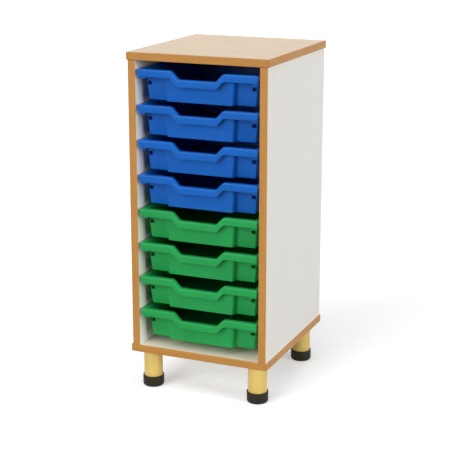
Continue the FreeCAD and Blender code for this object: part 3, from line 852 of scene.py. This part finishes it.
class TRAYUNIT_OT_runners(Operator):
    """Give the runners, the screws and the dowels their finishes"""

    bl_idname = "tray_unit.runners"
    bl_label = "Runners and fixings"

    def execute(self, context):
        colours = context.scene.tray_unit_colours
        plastic = runner_plastic_finish(colours.runner_plastic)
        dress(plastic, *(name for name in NODES if name.startswith("runner_") and "screws" not in name))
        dress(zinc_finish(), "runner_screws_left", "runner_screws_right", "leg_studs", "leg_inserts")
        dress(dowel_wood_finish(colours.dowel_wood), "carcass_dowels")
        return {"FINISHED"}


class TRAYUNIT_OT_trays(Operator):
    """Mould the trays: four blue ones above four green ones"""

    bl_idname = "tray_unit.trays"
    bl_label = "Trays"

    def execute(self, context):
        colours = context.scene.tray_unit_colours
        finishes = {"blue_plastic": tray_plastic_finish("blue_plastic_moulded", colours.blue_plastic),
                    "green_plastic": tray_plastic_finish("green_plastic_moulded", colours.green_plastic)}
        shape = finished_mesh(tray_solid(context.scene.tray_unit_tray), "tray_shape")
        for node in TRAY_NAMES:
            low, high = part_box(node)
            mesh = shape.copy()
            mesh.transform(Matrix.Translation((0, low.y + FRONT_SLACK, high.z)))
            slot = "blue_plastic" if node in BLUE_TRAYS else "green_plastic"
            add_piece(node + "_moulding", mesh, finishes[slot], node, slot, node)
        bpy.data.meshes.remove(shape)
        return {"FINISHED"}


class TRAYUNIT_OT_legs(Operator):
    """Turn the legs and their rubber feet"""

    bl_idname = "tray_unit.legs"
    bl_label = "Legs and feet"

    def execute(self, context):
        colours = context.scene.tray_unit_colours
        paint = leg_paint_finish(colours.leg_paint)
        rubber = rubber_finish(colours.rubber)
        plugs = plug_plastic_finish()
        sizes = context.scene.tray_unit_legs
        for corner in LEG_CORNERS:
            low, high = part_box("leg_" + corner)
            self.leg(corner, sizes, low, high, paint)
            self.foot(corner, sizes, low, high, rubber)
            dress(plugs, "leg_plug_" + corner)
        return {"FINISHED"}

    def leg(self, corner, sizes, low, high, paint):
        """A tube with rounded ends."""
        outer = (high.x - low.x) / 2
        inner = outer - sizes.tube_wall
        edge = sizes.tube_edge
        profile = [(inner, low.z), *arc((outer - edge, low.z + edge), edge, -90, 0, EDGE_STEPS),
                   *arc((outer - edge, high.z - edge), edge, 0, 90, EDGE_STEPS), (inner, high.z)]
        mesh = finished_mesh(lathe(profile, (low + high) / 2), "leg_" + corner)
        add_piece("leg_tube_" + corner, mesh, paint, "carcass", "leg_paint", "leg_" + corner)

    def foot(self, corner, sizes, leg_low, leg_high, rubber):
        """A ferrule with a rounded sole, a rounded upper edge and a socket for the tube."""
        low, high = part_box("foot_" + corner)
        outer = (high.x - low.x) / 2
        socket = (leg_high.x - leg_low.x) / 2 + sizes.socket_gap
        sole, rim, hole = sizes.sole_round, sizes.foot_rim, sizes.sole_hole
        under = arc((outer - sole, low.z + sole), sole, -90, 0, SOLE_STEPS)
        over = arc((outer - rim, high.z - rim), rim, 0, RIM_TURN, RIM_STEPS)
        profile = [(hole, low.z), *under, *over, (socket, high.z - rim), (socket, leg_low.z),
                   (hole, leg_low.z)]
        mesh = finished_mesh(lathe(profile, (leg_low + leg_high) / 2), "foot_" + corner)
        add_piece("ferrule_" + corner, mesh, rubber, "carcass", "black_rubber", "foot_" + corner)


class TRAYUNIT_OT_stage(Operator):
    """Lay the floor and set the lamps, the surroundings and the camera"""

    bl_idname = "tray_unit.stage"
    bl_label = "Stage"

    def execute(self, context):
        stage = context.scene.tray_unit_stage
        self.floor(context, stage)
        self.lamps(context, stage)
        self.surroundings(context, stage)
        self.camera(context, stage)
        context.scene.view_settings.view_transform = "Standard"
        return {"FINISHED"}

    @staticmethod
    def seen_directly(tree):
        """1 on what the camera sees, straight, mirrored or through glass, and 0 on other light."""
        path = put(tree, "LightPath")
        seen = path.outputs["Is Camera Ray"]
        for name in ("Is Glossy Ray", "Is Transmission Ray"):
            seen = compute(tree, "MAXIMUM", seen, path.outputs[name])
        return seen

    def floor(self, context, stage):
        """A wide sheet of pale paper that looks white and keeps the shadow."""
        bm = bmesh.new()
        bmesh.ops.create_grid(bm, x_segments=1, y_segments=1, size=stage.floor_size / 2)
        mesh = bpy.data.meshes.new("floor")
        bm.to_mesh(mesh)
        bm.free()
        material, tree = new_finish("floor_paper")[:2]
        tree.nodes.clear()
        seen = self.seen_directly(tree)
        tone = blend_colours(tree, seen, opaque(WHITE, stage.floor_bounce), opaque(stage.floor_paper))
        paper = put(tree, "BsdfDiffuse", Color=tone)
        glow = put(tree, "Emission", Color=WHITE, Strength=times(tree, seen, stage.floor_glow))
        both = put(tree, "AddShader")
        plug(tree, both.inputs[0], paper.outputs["BSDF"])
        plug(tree, both.inputs[1], glow.outputs["Emission"])
        put(tree, "OutputMaterial", Surface=both.outputs["Shader"])
        mesh.materials.append(material)
        floor = bpy.data.objects.new("floor", mesh)
        context.scene.collection.objects.link(floor)

    def lamps(self, context, stage):
        """Three wide, soft lamps: from the front left, from the right and from above."""
        for name in ("key", "fill", "overhead"):
            light = bpy.data.lights.new(name, "SUN")
            light.energy = getattr(stage, name + "_strength")
            light.angle = getattr(stage, name + "_spread")
            lamp = bpy.data.objects.new(name, light)
            way = Vector(getattr(stage, name + "_heading"))
            lamp.rotation_euler = way.to_track_quat("-Z", "Y").to_euler()
            context.scene.collection.objects.link(lamp)

    def surroundings(self, context, stage):
        """A faint light all round that looks white to the camera."""
        world = bpy.data.worlds.new("surroundings")
        world.use_nodes = True
        tree = world.node_tree
        tree.nodes.clear()
        level = remap(tree, self.seen_directly(tree), 0.0, 1.0, stage.sky_strength, 1.0)
        sky = put(tree, "Background", Color=WHITE, Strength=level)
        put(tree, "OutputWorld", Surface=sky.outputs["Background"])
        context.scene.world = world

    def camera(self, context, stage):
        """A camera at the photograph's viewing angle."""
        data = bpy.data.cameras.new("camera")
        data.lens = stage.lens
        data.sensor_width = 36.0
        back = Vector((math.sin(stage.azimuth) * math.cos(stage.elevation),
                       -math.cos(stage.azimuth) * math.cos(stage.elevation), math.sin(stage.elevation)))
        camera = bpy.data.objects.new("camera", data)
        camera.location = Vector(stage.aim) + back * stage.distance
        camera.rotation_euler = (-back).to_track_quat("-Z", "Y").to_euler()
        context.scene.collection.objects.link(camera)
        context.scene.camera = camera


class TRAYUNIT_PT_sidebar(Panel):
    """Lists the unit's sizes, colours and steps"""

    bl_idname = "TRAYUNIT_PT_sidebar"
    bl_label = "Tray Unit"
    bl_space_type = "VIEW_3D"
    bl_region_type = "UI"
    bl_category = "Tray Unit"

    def draw(self, context):
        scene = context.scene
        for pointer in GROUPS:
            group = getattr(scene, pointer)
            box = self.layout.box()
            for name in group.__annotations__:
                box.prop(group, name)
        for step in STEPS:
            self.layout.operator(step.bl_idname)


GROUPS = {"tray_unit_colours": TrayUnitColours, "tray_unit_tray": TrayUnitTray,
          "tray_unit_legs": TrayUnitLegs, "tray_unit_stage": TrayUnitStage}
STEPS = (TRAYUNIT_OT_boards, TRAYUNIT_OT_edging, TRAYUNIT_OT_runners, TRAYUNIT_OT_trays, TRAYUNIT_OT_legs,
         TRAYUNIT_OT_stage)


def register():
    """Register the groups of properties, the operators and the panel."""
    for group in (*GROUPS.values(), *STEPS, TRAYUNIT_PT_sidebar):
        bpy.utils.register_class(group)
    for name, group in GROUPS.items():
        setattr(bpy.types.Scene, name, PointerProperty(type=group))


def unregister():
    """Undo what register has done."""
    for name in GROUPS:
        delattr(bpy.types.Scene, name)
    for group in (TRAYUNIT_PT_sidebar, *reversed(STEPS), *reversed(GROUPS.values())):
        bpy.utils.unregister_class(group)


def main():
    """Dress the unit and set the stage."""
    register()
    bpy.ops.tray_unit.boards()
    bpy.ops.tray_unit.edging()
    bpy.ops.tray_unit.runners()
    bpy.ops.tray_unit.trays()
    bpy.ops.tray_unit.legs()
    bpy.ops.tray_unit.stage()


if __name__ == "__main__":
    main()
